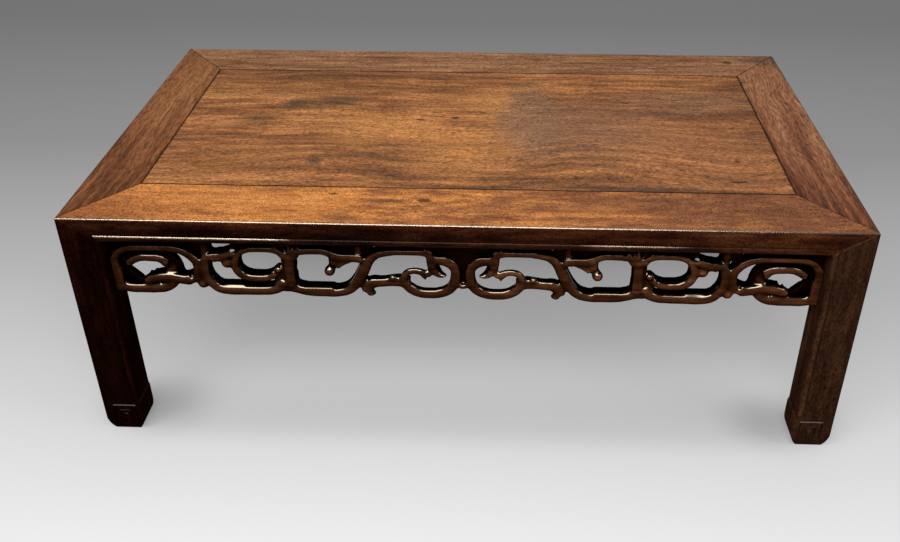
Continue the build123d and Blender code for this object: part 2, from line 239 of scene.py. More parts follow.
def wandering(tree, place, start, wander):
    """Points of the wood, pushed about by long swells as its fibres wander."""
    shifted = add(tree, "ShaderNodeMapping", {"Vector": place.outputs["Object"], "Location": start})
    swell = add(tree, "ShaderNodeTexNoise", {"Vector": shifted, "Scale": SWELLS, "Detail": 3.0})
    centred = add(tree, "ShaderNodeVectorMath", {0: swell.outputs["Color"], 1: (0.5, 0.5, 0.5)},
                  operation="SUBTRACT")
    return add(tree, "ShaderNodeVectorMath",
               {0: centred, 1: (SWELL_X, wander, wander), 2: place.outputs["Object"]},
               operation="MULTIPLY_ADD")


def spot(tree, points, x, y, half_length, half_width, softness):
    """An oval on a level face, in mm: 1 at its middle and 0 outside, with a soft edge."""
    offset = add(tree, "ShaderNodeVectorMath", {0: points, 1: (x * MM, y * MM, table_height)},
                 operation="SUBTRACT")
    shape = add(tree, "ShaderNodeVectorMath",
                {0: offset, 1: (1 / (half_length * MM), 1 / (half_width * MM), 0)}, operation="MULTIPLY")
    distance = add(tree, "ShaderNodeVectorMath", {0: shape}, operation="LENGTH")
    return add(tree, "ShaderNodeMapRange", {
        "Value": distance, "From Min": 1 + softness, "From Max": 1 - softness,
    }, interpolation_type="SMOOTHSTEP")


def arched(tree, points, lift):
    """Points of the wood, with the lines of the grain bent towards +Y over places."""
    fibres = points
    for x, y, half_length, half_width, rise in lift:
        inside = spot(tree, points, x, y, half_length, half_width, softness=1.0)
        bend = add(tree, "ShaderNodeVectorMath", {0: (0, -rise * MM, 0), "Scale": inside}, operation="SCALE")
        fibres = add(tree, "ShaderNodeVectorMath", {0: fibres, 1: bend}, operation="ADD")
    return fibres


def layered(tree, fibres, layers, length, middle, roughness):
    """Layers of noise, stretched along the fibres and added up round a middle value."""
    total = middle - sum(share for *_, share in layers) / 2
    for along, across, detail, share in layers:
        stretched = add(tree, "ShaderNodeVectorMath", {0: fibres, 1: (along / length, across, across)},
                        operation="MULTIPLY")
        layer = add(tree, "ShaderNodeTexNoise", {
            "Vector": stretched, "Scale": 1.0, "Detail": detail, "Roughness": roughness,
        })
        total = add(tree, "ShaderNodeMath", {0: layer, 1: share, 2: total}, operation="MULTIPLY_ADD")
    return total


# ------------------------------------------------------------------ faces and edges of the wood


TOP_SKIN = 5 * MM         # how far down the rounded top edge has the colour of the top
# Painted light on the upright faces: darker low down, lighter up to the top edge
SIDE_LIGHT_START = 13 * MM  # above the underside
SIDE_LIGHT_END = 2 * MM     # below the top
LOW_SIDE_SHADE = 0.8


def upper_colour(tree, place, points, tone, palette, lean, marks):
    """Colour of what looks up, with its clouds, smoky spots and knots."""
    drift = add(tree, "ShaderNodeVectorMath", {0: place.outputs["Object"], 1: (*lean, 0)},
                operation="DOT_PRODUCT")
    leaning = add(tree, "ShaderNodeMath", {0: drift, 1: tone}, operation="ADD")
    colour = add(tree, "ShaderNodeValToRGB", {"Fac": leaning}, stops=palette)
    for x, y, half_length, half_width, softness, strength, stain in marks:
        inside = spot(tree, points, x, y, half_length, half_width, softness)
        amount = add(tree, "ShaderNodeMath", {0: inside, 1: strength}, operation="MULTIPLY")
        colour = add(tree, "ShaderNodeMix", {"Factor": amount, "A": colour, "B": linear(stain)},
                     data_type="RGBA")
    return colour


def side_colour(tree, here, tone, palette, lean, top_edge_light):
    """Colour of the upright faces, with painted light that makes them lighter towards the top edge."""
    leaning = add(tree, "ShaderNodeMath", {0: here.outputs["X"], 1: lean, 2: tone}, operation="MULTIPLY_ADD")
    colour = add(tree, "ShaderNodeValToRGB", {"Fac": leaning}, stops=palette)
    painted_side_light = add(tree, "ShaderNodeMapRange", {
        "Value": here.outputs["Z"],
        "From Min": underside + SIDE_LIGHT_START, "From Max": table_height - SIDE_LIGHT_END,
        "To Min": LOW_SIDE_SHADE, "To Max": top_edge_light,
    }, interpolation_type="SMOOTHSTEP")
    return add(tree, "ShaderNodeVectorMath", {0: colour, "Scale": painted_side_light}, operation="SCALE")


def top_face(tree, here, facing):
    """1 on the top of the table, 0 on its sides, with a soft change round the edge."""
    near_top = add(tree, "ShaderNodeMath", {0: here.outputs["Z"], 1: table_height - TOP_SKIN},
                   operation="GREATER_THAN")
    return add(tree, "ShaderNodeMapRange", {
        "Value": facing.outputs["Z"], "From Min": 0.55, "From Max": 0.95, "To Max": near_top,
    }, interpolation_type="SMOOTHSTEP")


def insets(tree, here):
    """Distances in from the ends, in from the long sides and down from the top of the table."""
    distances = []
    for axis, half_size in [("X", frame_half_length), ("Y", frame_half_depth)]:
        reach = add(tree, "ShaderNodeMath", {0: here.outputs[axis]}, operation="ABSOLUTE")
        distances.append(add(tree, "ShaderNodeMath", {0: half_size, 1: reach}, operation="SUBTRACT"))
    from_top = add(tree, "ShaderNodeMath", {0: table_height, 1: here.outputs["Z"]}, operation="SUBTRACT")
    return [*distances, from_top]


# Lines of the mitres, and what they add to the shade of the wood: dirt on the top, and a painted highlight on
# the faces
MITRE_HALF_WIDTH = 1.2 * MM
DIRTY_MITRE = -0.7
MITRE_HIGHLIGHT = 0.9
DARKEST_MITRE = 0.3


def mitre_lines(tree, from_end, from_side, from_top):
    """Shade of the mitres: dark with dirt on the top and its arris, and a painted highlight along them on the
    faces.
    """
    below_arris = add(tree, "ShaderNodeMapRange", {
        "Value": from_top, "From Min": 2.0 * MM, "From Max": 3.5 * MM,
        "To Min": DIRTY_MITRE, "To Max": MITRE_HIGHLIGHT,
    })
    top_slope = long_rail_width / end_rail_width
    face_slope = rail_thickness / leg_width
    shade = 1.0
    for run, rise, slope, change in [(from_end, from_side, top_slope, DIRTY_MITRE),
                                     (from_end, from_top, face_slope, below_arris),
                                     (from_side, from_top, face_slope, below_arris)]:
        mitre = add(tree, "ShaderNodeMath", {0: run, 1: slope}, operation="MULTIPLY")
        on_line = add(tree, "ShaderNodeMath", {0: mitre, 1: rise, 2: MITRE_HALF_WIDTH}, operation="COMPARE")
        shade = add(tree, "ShaderNodeMath", {0: on_line, 1: change, 2: shade}, operation="MULTIPLY_ADD")
    return add(tree, "ShaderNodeMath", {0: shade, 1: DARKEST_MITRE}, operation="MAXIMUM")


def panel_dust(tree, from_end, from_side, from_top):
    """Shade along the edge of the panel, where dust has settled in the joint."""
    along = add(tree, "ShaderNodeMath", {0: from_end, 1: end_rail_width}, operation="SUBTRACT")
    across = add(tree, "ShaderNodeMath", {0: from_side, 1: long_rail_width}, operation="SUBTRACT")
    inset = add(tree, "ShaderNodeMath", {0: along, 1: across}, operation="MINIMUM")
    return add(tree, "ShaderNodeMapRange", {
        "Value": inset, "From Min": 1.2 * MM, "From Max": 3.6 * MM, "To Min": 0.12, "To Max": 1.0,
    }, interpolation_type="SMOOTHSTEP")


def edge_polish(tree, here, facing, bead_wear):
    """Shine of the upright faces: dull where they are flat, polished where rounded edges are worn."""
    polish = add(tree, "ShaderNodeMapRange", {
        "Value": facing.outputs["Z"], "From Min": 0.22, "From Max": 0.5,
    }, interpolation_type="SMOOTHSTEP")
    if not bead_wear:
        return polish
    along = add(tree, "ShaderNodeMapRange", {
        "Value": here.outputs["X"], "From Min": -frame_half_length, "From Max": frame_half_length,
    })
    wear = add(tree, "ShaderNodeValToRGB", {"Fac": along}, stops=bead_wear)
    wear_and_sheen = add(tree, "ShaderNodeMath", {0: polish, 1: wear}, operation="MULTIPLY")
    on_bead = add(tree, "ShaderNodeMath", {0: here.outputs["Z"], 1: underside + BEAD_ZONE},
                  operation="LESS_THAN")
    return add(tree, "ShaderNodeMix", {"Factor": on_bead, "A": polish, "B": wear_and_sheen})


# ------------------------------------------------------------------ faces of the legs


# How much lighter the painted highlight makes the crown of a leg's bead
BEAD_CROWN_HIGHLIGHT = 1.55
# Lines of the squared scroll on a foot, in mm: in from the outer corner from and to, up from and
# to, and how far wear has polished them
SCROLL_LINES = [
    (13, 40, 43.0, 44.2, 0.6),
    (13, 14, 14.0, 44.0, 0.0),
    (39, 40, 14.0, 44.0, 0.0),
    (20, 32, 35.0, 36.0, 0.06),
    (20, 21, 24.0, 36.0, 0.0),
    (25, 28, 29.0, 30.5, 0.1),
]
SCROLL_SLOPE = 0.6 * MM
SCROLL_DEPTH = 1.2 * MM


def leg_face(tree, facing, from_end, from_side):
    """Distance across a leg's face from its outer corner, and 1 where that face is an outer one."""
    turned = add(tree, "ShaderNodeMath", {0: facing.outputs["Y"]}, operation="ABSOLUTE")
    frontal = add(tree, "ShaderNodeMath", {0: turned, 1: 0.5}, operation="GREATER_THAN")
    across = add(tree, "ShaderNodeMix", {"Factor": frontal, "A": from_side, "B": from_end})
    set_back = add(tree, "ShaderNodeMix", {"Factor": frontal, "A": from_end, "B": from_side})
    outer = add(tree, "ShaderNodeMath", {0: set_back, 1: leg_width / 2}, operation="LESS_THAN")
    return across, outer


def leg_bead(tree, here, across):
    """Shade of the bead on a leg's inner edge, with a painted highlight along its crown down to the hoof."""
    offset = add(tree, "ShaderNodeMath", {0: across, 1: leg_width - BEAD_WIDTH / 2}, operation="SUBTRACT")
    off_crown = add(tree, "ShaderNodeMath", {0: offset}, operation="ABSOLUTE")
    wear_and_sheen = add(tree, "ShaderNodeMapRange", {
        "Value": here.outputs["Z"], "From Min": HOOF_HEIGHT, "From Max": HOOF_HEIGHT + 6 * MM,
        "To Min": 1.0, "To Max": BEAD_CROWN_HIGHLIGHT,
    })
    return add(tree, "ShaderNodeMapRange", {
        "Value": off_crown, "From Min": 1.0 * MM, "From Max": 2.8 * MM, "To Min": wear_and_sheen, "To Max": 1.0,
    }, interpolation_type="SMOOTHSTEP")


def squared_scroll(tree, here, across, outer):
    """The squared scroll on a foot: how deep its lines are cut, and how far they shine."""
    cut = 0.0
    shine = 0.0
    for left, right, low, high, polish in SCROLL_LINES:
        inside = outer
        for value, near, far in [(across, left, right), (here.outputs["Z"], low, high)]:
            half_width = (far - near) / 2 * MM
            offset = add(tree, "ShaderNodeMath", {0: value, 1: (near + far) / 2 * MM}, operation="SUBTRACT")
            away = add(tree, "ShaderNodeMath", {0: offset}, operation="ABSOLUTE")
            step = add(tree, "ShaderNodeMapRange", {
                "Value": away, "From Min": half_width + SCROLL_SLOPE, "From Max": half_width,
            }, interpolation_type="SMOOTHSTEP")
            inside = add(tree, "ShaderNodeMath", {0: inside, 1: step}, operation="MULTIPLY")
        cut = add(tree, "ShaderNodeMath", {0: cut, 1: inside}, operation="MAXIMUM")
        shine = add(tree, "ShaderNodeMath", {0: inside, 1: polish, 2: shine}, operation="MULTIPLY_ADD")
    return cut, shine


# ------------------------------------------------------------------ the wood itself


GLOSS = 0.09
# Real lacquer has about 1.5. This much makes the narrow polished edges gleam as real ones do.
LACQUER_IOR = 2.0


def aged_rosewood(name, grain, start, palette, sides=SHADED_SIDE_TONES, wander=16 * MM, length=1.0, lean=(0, 0),
                  side_lean=0.0, top_edge_light=2.0, lift=(), marks=(), joints=mitre_lines, bead_wear=None, leg=False):
    """Old rosewood, planed and finished with lacquer and wax: soft gloss, long grain, and sides darkened by
    painted shade.

    grain is the axis that the fibres follow, and start shifts the figure, so that no two boards
    match. palette colours the faces that look up and sides the upright ones, painted nearly
    black as painted shade. wander is how far the figure drifts along Y and Z, and length draws it
    out along the board. lean is the change of tone per metre along X and Y, and side_lean that of
    the upright faces along X. top_edge_light is how much lighter the painted light makes those at
    the top edge. lift and marks bend and stain the figure, and joints shades the joints. bead_wear
    is the polish of the bead along X. leg adds a painted highlight along the crown of a leg's bead,
    and the squared scroll on its foot.
    """
    material, tree = new_material(name)
    place = add(tree, "ShaderNodeTexCoord")
    here = add(tree, "ShaderNodeSeparateXYZ", {0: place.outputs["Object"]})
    facing = add(tree, "ShaderNodeSeparateXYZ", {0: place.outputs["Normal"]})
    points = wandering(tree, place, start, wander)
    fibres = add(tree, "ShaderNodeMapping", {
        "Vector": arched(tree, points, lift), "Rotation": GRAIN_TURNS[grain], "Location": start,
    })
    tone = layered(tree, fibres, TONE_LAYERS, length, middle=0.5, roughness=0.5)
    fine = layered(tree, fibres, FINE_LAYERS, length, middle=1.0, roughness=0.65)

    upper = upper_colour(tree, place, points, tone, palette, lean, marks)
    side = side_colour(tree, here, tone, sides, side_lean, top_edge_light)
    # Painted shade: the upright faces take the far darker sides palette
    wood = add(tree, "ShaderNodeMix", {"Factor": top_face(tree, here, facing), "A": side, "B": upper},
               data_type="RGBA")
    from_end, from_side, from_top = insets(tree, here)
    shades = [fine, joints(tree, from_end, from_side, from_top)]
    relief = add(tree, "ShaderNodeBump", {"Height": fine, "Strength": 0.25, "Distance": 0.3 * MM})
    polish = edge_polish(tree, here, facing, bead_wear)
    if leg:
        across, outer = leg_face(tree, facing, from_end, from_side)
        cut, shine = squared_scroll(tree, here, across, outer)
        depth = add(tree, "ShaderNodeMath", {0: cut, 1: -1.0}, operation="MULTIPLY")
        relief = add(tree, "ShaderNodeBump", {
            "Height": depth, "Strength": 1.0, "Distance": SCROLL_DEPTH, "Normal": relief,
        })
        dirt = add(tree, "ShaderNodeMath", {0: cut, 1: -0.5, 2: 1.0}, operation="MULTIPLY_ADD")
        shades += [leg_bead(tree, here, across), dirt]
        polish = add(tree, "ShaderNodeMath", {0: polish, 1: shine}, operation="MAXIMUM")
    for shade in shades:
        wood = add(tree, "ShaderNodeVectorMath", {0: wood, "Scale": shade}, operation="SCALE")

    level = add(tree, "ShaderNodeMapRange", {
        "Value": facing.outputs["Z"], "From Min": 0.85, "From Max": 0.98,
    }, interpolation_type="SMOOTHSTEP")
    shader = add(tree, "ShaderNodeBsdfPrincipled", {
        "Base Color": wood,
        "Roughness": add(tree, "ShaderNodeMapRange", {"Value": level, "To Min": 0.22, "To Max": 0.42}),
        "Specular IOR Level": add(tree, "ShaderNodeMix", {"Factor": level, "A": polish, "B": GLOSS}),
        "IOR": LACQUER_IOR,
        "Specular Tint": linear(WARM_WAX),
        "Normal": relief,
    })
    add(tree, "ShaderNodeOutputMaterial", {"Surface": shader})
    return material


# ------------------------------------------------------------------ pierced aprons


# The carving of half an apron, in millimetres: along, in from the face of the leg, and down from
# the underside of the rail. A strand is (sink, body, points of along, down, width): sink is how
# far its crown lies behind the front, and body how deep it is behind its domed front, in widths.
FULL = 1.6
HALF = 0.8
LOW = 0.45
SLIM = 0.3
OUTER_STRANDS = [
    # end corner, top run and the first S curve
    (0, FULL, [(5.5, 76, 13.5), (5.5, 56, 13.5), (5.5, 42, 13.5), (6.5, 33, 12), (11.5, 24, 10.4),
               (20.5, 18.2, 8.8), (37, 16.5, 8), (58, 16.4, 8), (72.5, 17, 8.6), (86, 21.5, 9.6),
               (94.5, 28.5, 10), (99, 35.6, 10), (99.8, 45, 10.5), (96, 55, 13), (86.5, 61, 13.4)]),
    # bar that the S curve ends in, and the lower loop and ring that pass behind it
    (0, FULL, [(86.5, 61, 13.4), (77, 59.6, 13), (67.5, 57.6, 12.4), (57, 57.6, 12.2), (47.5, 59.2, 12),
               (41, 61, 12)]),
    (0.5, FULL, [(5, 64, 13), (8, 70.4, 12.8), (16, 73.4, 12.5), (31, 73.8, 12.4), (45.5, 73.8, 12.4),
                 (57.5, 72.2, 12.5), (65.5, 67.8, 12), (71.7, 61.5, 11.5)]),
    (4.5, FULL, [(70, 61, 16.5), (66.5, 48, 17.5), (60.5, 39.5, 16.5), (55, 35.5, 15)]),
    (2.5, FULL, [(60, 37, 12.4), (54, 33.4, 11.5), (44.5, 31.6, 10), (34, 32, 9.8), (25.5, 35.4, 10),
                 (17, 41.5, 9.6)]),
    # sunk ground at the two ends of the ring
    (8.5, FULL, [(10, 47, 9), (15, 52.5, 9), (20, 58, 9), (25.5, 63.5, 9), (31, 68, 9)]),
    (8, FULL, [(44, 27, 12), (57, 29, 13), (67, 34.4, 13), (71.4, 42.2, 14), (74, 54.8, 14)]),
    # arm of the first dragon, running round into the first lower run, and its stem
    (0, FULL, [(148, 18.2, 9), (138.5, 23, 10.6), (130, 26.6, 12), (121, 28.6, 13), (114.5, 30.8, 13),
               (109.8, 35.5, 12), (108.4, 43, 11), (109, 53, 11), (113.5, 63.5, 11.5),
               (121, 71.2, 12), (132, 74, 12), (151, 74, 12), (170, 73.8, 12),
               (182.5, 72.8, 12), (191.7, 68.8, 12), (199, 60.4, 12)]),
    (4, FULL, [(109.5, 28, 9), (109.2, 14, 8), (109, 2, 8)]),
    # crescent, and the ground behind its lower end
    (0.5, FULL, [(202, 26, 9.5), (195.5, 20.5, 9.5), (185.3, 16.2, 7.6), (172.5, 15.9, 7), (159.6, 17, 7.4),
                 (150.5, 21.8, 8.4), (145.4, 30.2, 9.2), (144, 40, 10.4), (147.5, 49.5, 10.6),
                 (156, 55, 10.6), (167.5, 56.2, 9.6), (176.5, 55.6, 9), (184.7, 52.4, 8.4),
                 (191.3, 46, 7)]),
    (2, FULL, [(195, 48, 9.5), (196.5, 56, 12), (198, 65, 12)]),
    # stem, and the three leaves of its crown
    (0, FULL, [(206.5, 66, 13.5), (206.3, 50, 12.6), (206.3, 37, 12.8), (206.8, 24, 13)]),
    (0.5, FULL, [(206.8, 26, 10), (207.5, 15, 6), (208, 5, 2)]),
    (0.5, FULL, [(203, 28, 7), (197, 19, 4.5), (191, 11.5, 1.6)]),
    (0.5, FULL, [(210.5, 28, 7), (214, 19, 4.5), (217.5, 11.5, 1.6)]),
]
INNER_STRANDS = [
    # hook and the second dragon's head, jaw and stem
    (0.5, FULL, [(208, 28.5, 12), (213, 22.5, 12.5), (221.3, 18, 9), (233.5, 17.2, 8.4), (244.7, 17.4, 8.8),
                 (252.8, 21.4, 10.4), (257.2, 28.5, 13), (256.4, 37, 12), (252, 44.5, 10)]),
    (0, FULL, [(255.5, 22.5, 11), (264, 25, 11), (272.5, 25.2, 10.8), (281, 25.4, 10.8), (289, 26.5, 11)]),
    (0.3, FULL, [(277, 28.5, 5), (268, 32.5, 6), (260, 39, 5)]),
    (4, FULL, [(285.4, 27, 8), (285.4, 14, 7), (285, 3, 7)]),
    # second lower run, the long S curve and its top run
    (0, FULL, [(203, 62.5, 11), (207.7, 67.8, 11.5), (217, 71.4, 11.6), (228, 73.8, 11.6), (245, 74.4, 11),
               (260.5, 74, 11), (272, 70.2, 11.8), (281, 61, 13), (288, 49.2, 13.8),
               (293.2, 37.5, 13.6), (300, 27.2, 12.4), (309, 20.6, 10.6), (319.5, 17.3, 8.4),
               (328, 16.1, 7.8), (343, 15.8, 7.6), (357.5, 16.2, 8.2), (366.5, 18, 8.5)]),
    # leaf that hangs from the end of the top run
    (0.5, HALF, [(365.4, 12.3, 9), (367, 21.6, 10), (368.6, 31.8, 11.6), (370.6, 39.5, 11.6),
                 (374.8, 45.3, 8.4), (379.5, 47.7, 5.8), (384.8, 47.2, 2)]),
    # big scroll beside the middle line, its tip, and the ground between it and its twin
    (0, SLIM, [(369, 27.5, 10), (376.3, 26.5, 12.4), (383.3, 27.4, 13.4), (390.3, 31.3, 12.6),
               (395.2, 38.9, 11.4), (395.6, 48, 11.6), (393.8, 58.6, 12.2), (388, 67, 12.4),
               (377, 72.4, 12.4), (364.8, 73.6, 12.4), (353, 72, 12.4), (343.4, 66.4, 12.4),
               (337, 58, 9.8), (337.2, 49, 8.4), (341.8, 43, 7.8), (349, 41.2, 7.6),
               (356, 42.4, 8), (362, 45, 8), (368, 46.5, 6)]),
    (0.3, SLIM, [(357.5, 45, 6), (360, 49, 4.5), (361.6, 52.8, 1.4)]),
    (6, FULL, [(399.5, 34, 8), (401, 45, 8.5), (402, 56, 9), (402, 66, 9)]),
    # tendril with its foot
    (0.3, LOW, [(342, 60.8, 14), (335, 58, 14), (326, 57.4, 13), (317.5, 58, 12), (308, 59, 12),
                (299.5, 61, 14), (294.2, 67, 14), (293.6, 73, 13.4)]),
    (1, HALF, [(296, 75, 6.5), (302, 75.6, 4.8)]),
    # collar across the middle line
    (0, HALF, [(391.5, 54, 3), (396.5, 59.5, 4.8), (405, 62, 5.6)]),
]
# Straight-edged parts, most of them sunk ground between the strands: left, top, right, bottom, sink
OUTER_BLOCKS = [
    (0, 30, 9, 77, 1.5),
    (3, 12, 14, 66, 7),
    (3, 10, 40, 27, 8),
    (10, 24, 27, 34, 8),
    (8, 44, 16, 70, 8.5),
    (91, 4, 116.5, 23, 7),
    (139, 4, 151, 20, 7),
    (118, 66.5, 152, 72, 4),
    (187, 46, 203, 72, 4),
    (196, 22, 203, 50, 5),
    (194, 2, 219, 17, 6),
    (196, 66, 217, 74, 1.5),
]
INNER_BLOCKS = [
    (253, 4, 284, 23, 7),
    (284, 4, 300, 27, 7),
    (212, 66.8, 254, 73, 1),
    (370, 4, 405, 33, 7),
]
# Buds: along, down, radius, how far they stand out
OUTER_BUDS = [
    (39.5, 61.6, 5.8, 0),
    (103, 65.4, 6.8, 0.6),
    (134.4, 36.2, 7.2, 0.6),
    (193, 43.2, 4.4, 0.8),
    (206.5, 63, 7.4, 1.0),
]
INNER_BUDS = [
    (251.4, 45, 6.4, 0.8),
    (361.5, 12.5, 3.2, 0.6),
    (368, 14.5, 3.0, 0.6),
    (324, 51.5, 4, 0.3),
]

# The drawing reaches from the leg to the middle line, and to the stem where the end aprons turn
DRAWN_SPAN = 404.0
DRAWN_STEM = 206.5
# Band along the rail's underside: how far it rises past it and past both ends, depth and sink
BAND_RISE = 0.2
BAND_OVERLAP = 1.0
BAND_DEPTH = 7.0
BAND_SINK = 2.0
CROWN_FLATNESS = 0.55
VOXEL = 1.45 * MM
SMOOTHINGS = 3


def strand(points, sink, body, spread):
    """A carved strand as a tube with a domed front and deep straight sides, in drawing space.

    Drawing space has X along the apron from the leg, Y up from the rail's underside and Z out
    of the front face. The depth is drawn too deep and is flattened later for the domed front.
    """
    curve = bpy.data.curves.new("strand", "CURVE")
    curve.dimensions = "3D"
    curve.twist_mode = "Z_UP"
    curve.resolution_u = 5
    curve.bevel_depth = 0.5
    curve.bevel_resolution = 4
    curve.extrude = body
    curve.use_fill_caps = True
    line = curve.splines.new("BEZIER")
    line.bezier_points.add(len(points) - 1)
    for knot, (along, down, width) in zip(line.bezier_points, points):
        depth = (0.5 + body) * width + sink / CROWN_FLATNESS
        knot.co = (along * spread * MM, -down * MM, -depth * MM)
        knot.radius = width * MM
        knot.handle_left_type = "AUTO"
        knot.handle_right_type = "AUTO"
    obj = bpy.data.objects.new("strand", curve)
    bpy.context.scene.collection.objects.link(obj)
    return evaluated_mesh(obj, "strand")


def block(form, left, top, right, bottom, sink):
    """A straight-edged part of the board in drawing space, a metre deep until it is cut off."""
    size = ((right - left) * MM, (bottom - top) * MM, 1.0)
    middle = ((left + right) / 2 * MM, -(top + bottom) / 2 * MM, -0.5 - sink / CROWN_FLATNESS * MM)
    bmesh.ops.create_cube(form, size=1.0, matrix=Matrix.Translation(middle) @ Matrix.Diagonal((*size, 1.0)))


def half_carving(half_span, drawn_span):
    """The left half of an apron's carving, in drawing space, as overlapping closed parts."""
    spread = half_span / (drawn_span * MM)
    strands = list(OUTER_STRANDS)
    blocks = list(OUTER_BLOCKS)
    buds = list(OUTER_BUDS)
    if drawn_span > DRAWN_STEM:
        strands += INNER_STRANDS
        blocks += INNER_BLOCKS
        buds += INNER_BUDS

    form = bmesh.new()
    for sink, body, points in strands:
        mesh = strand(points, sink, body, spread)
        form.from_mesh(mesh)
        bpy.data.meshes.remove(mesh)
    for left, top, right, bottom, sink in blocks:
        block(form, left * spread, top, right * spread, bottom, sink)
    block(form, -BAND_OVERLAP, -BAND_RISE, drawn_span * spread + BAND_OVERLAP, BAND_DEPTH, BAND_SINK)
    for along, down, radius, proud in buds:
        centre = (along * spread * MM, -down * MM, (proud - radius) / CROWN_FLATNESS * MM)
        shape = Matrix.Translation(centre) @ Matrix.Diagonal((1, 1, 1 / CROWN_FLATNESS, 1))
        bmesh.ops.create_icosphere(form, subdivisions=3, radius=radius * MM, matrix=shape)
    bmesh.ops.scale(form, vec=(1, 1, CROWN_FLATNESS), verts=form.verts)
    return form


def cut_square(form, point, outward):
    """Cuts off all that lies outward of a plane and closes the cuts."""
    everything = form.verts[:] + form.edges[:] + form.faces[:]
    bmesh.ops.bisect_plane(form, geom=everything, plane_co=point, plane_no=outward, clear_outer=True)
    bmesh.ops.holes_fill(form, edges=[edge for edge in form.edges if edge.is_boundary])


def carved_board(name, half_span, drawn_span):
    """A whole apron as one closed skin, standing up along X with its front face at Y = 0."""
    form = half_carving(half_span, drawn_span)
    cut_square(form, (0, 0, -apron_thickness), (0, 0, -1))
    cut_square(form, (0, 0, 0), (-1, 0, 0))
    bmesh.ops.translate(form, vec=(-half_span, 0, 0), verts=form.verts)
    bmesh.ops.mirror(form, geom=form.verts[:] + form.edges[:] + form.faces[:], axis="X", merge_dist=-1)
    bmesh.ops.recalc_face_normals(form, faces=form.faces)
    bmesh.ops.rotate(form, cent=(0, 0, 0), matrix=Matrix.Rotation(math.radians(90), 3, "X"), verts=form.verts)
    mesh = bpy.data.meshes.new(name)
    form.to_mesh(mesh)
    form.free()

    obj = bpy.data.objects.new(name, mesh)
    bpy.context.scene.collection.objects.link(obj)
    skin = obj.modifiers.new("one skin", "REMESH")
    skin.mode = "VOXEL"
    skin.voxel_size = VOXEL
    skin.use_smooth_shade = True
    skinned = evaluated_mesh(obj, name)
    form = bmesh.new()
    form.from_mesh(skinned)
    for _ in range(SMOOTHINGS):
        bmesh.ops.smooth_vert(form, verts=form.verts, factor=0.5, use_axis_x=True, use_axis_y=True,
                              use_axis_z=True)
    form.to_mesh(skinned)
    form.free()
    return skinned


def hang_apron(node, board, turn, x, y, material):
    """A carved board turned about Z, set on its side of the table in place of its CAD node."""
    mesh = board.copy()
    mesh.name = node + "_carving"
    mesh.transform(Matrix.Translation((x, y, underside)) @ Matrix.Rotation(math.radians(turn), 4, "Z"))
    mesh.materials.append(material)
    mesh.polygons.foreach_set("use_smooth", [True] * len(mesh.polygons))
    piece = bpy.data.objects.new(node + "_carving", mesh)
    bpy.context.scene.collection.objects.link(piece)
    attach(piece, "root")
    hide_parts(node)


def carving_shades(tree, here, facing, behind, outward):
    """Painted light and shade on the carving, and dirt in its hollows, each as a factor."""
    # Dirt and painted shade darken the hollows; the crowns, bared by wear, keep their colour
    bend = add(tree, "ShaderNodeNewGeometry")
    crown = add(tree, "ShaderNodeValToRGB", {"Fac": bend.outputs["Pointiness"]},
                stops=[(0.45, "#181818"), (0.505, "#a0a0a0"), (0.55, "#ffffff")])
    # Painted shade, deepening from 3 to 8 mm behind the front
    depth_shade = add(tree, "ShaderNodeMapRange", {
        "Value": behind, "From Min": 3 * MM, "From Max": 8 * MM, "To Min": 1.0, "To Max": 0.12,
    }, interpolation_type="SMOOTHSTEP")
    # Painted light: the carving is lighter towards +X
    painted_light_along_x = add(tree, "ShaderNodeMapRange", {
        "Value": here.outputs["X"], "From Min": -0.2, "From Max": 0.25, "To Min": 0.6, "To Max": 1.15,
    }, interpolation_type="SMOOTHSTEP")
    # Painted shade: only what faces out of the board keeps its colour, and the sides of the piercings are
    # painted black
    turned = add(tree, "ShaderNodeMath", {0: facing.outputs[outward]}, operation="ABSOLUTE")
    frontal = add(tree, "ShaderNodeMapRange", {
        "Value": turned, "From Min": 0.55, "From Max": 1.0, "To Min": 0.06, "To Max": 1.0,
    }, interpolation_type="SMOOTHSTEP")
    # Painted light and shade: darker on what faces down, lighter on the upper shoulders
    painted_light_from_above = add(tree, "ShaderNodeMapRange", {
        "Value": facing.outputs["Z"], "From Min": -0.5, "From Max": 0.3, "To Min": 0.35, "To Max": 1.25,
    }, interpolation_type="SMOOTHSTEP")
    return [crown, depth_shade, painted_light_along_x, frontal, painted_light_from_above]


def carving_shine(tree, here, facing, behind):
    """Shine of the carving: the upper shoulders are polished by wear, the lower ones are dull."""
    wear_and_sheen = add(tree, "ShaderNodeMapRange", {
        "Value": facing.outputs["Z"], "From Min": 0.25, "From Max": 0.55,
    }, interpolation_type="SMOOTHSTEP")
    shallow = add(tree, "ShaderNodeMapRange", {
        "Value": behind, "From Min": 4 * MM, "From Max": 6 * MM, "To Min": 1.0, "To Max": 0.0,
    })
    # Painted shadow of the rail: the shine is dimmed close under it
    rail_shadow_on_shine = add(tree, "ShaderNodeMapRange", {
        "Value": here.outputs["Z"], "From Min": underside - 18 * MM, "From Max": underside - 32 * MM,
        "To Min": 0.18, "To Max": 1.0,
    }, interpolation_type="SMOOTHSTEP")
    shine = add(tree, "ShaderNodeMath", {0: shallow, 1: wear_and_sheen}, operation="MULTIPLY")
    return add(tree, "ShaderNodeMath", {0: shine, 1: rail_shadow_on_shine}, operation="MULTIPLY")


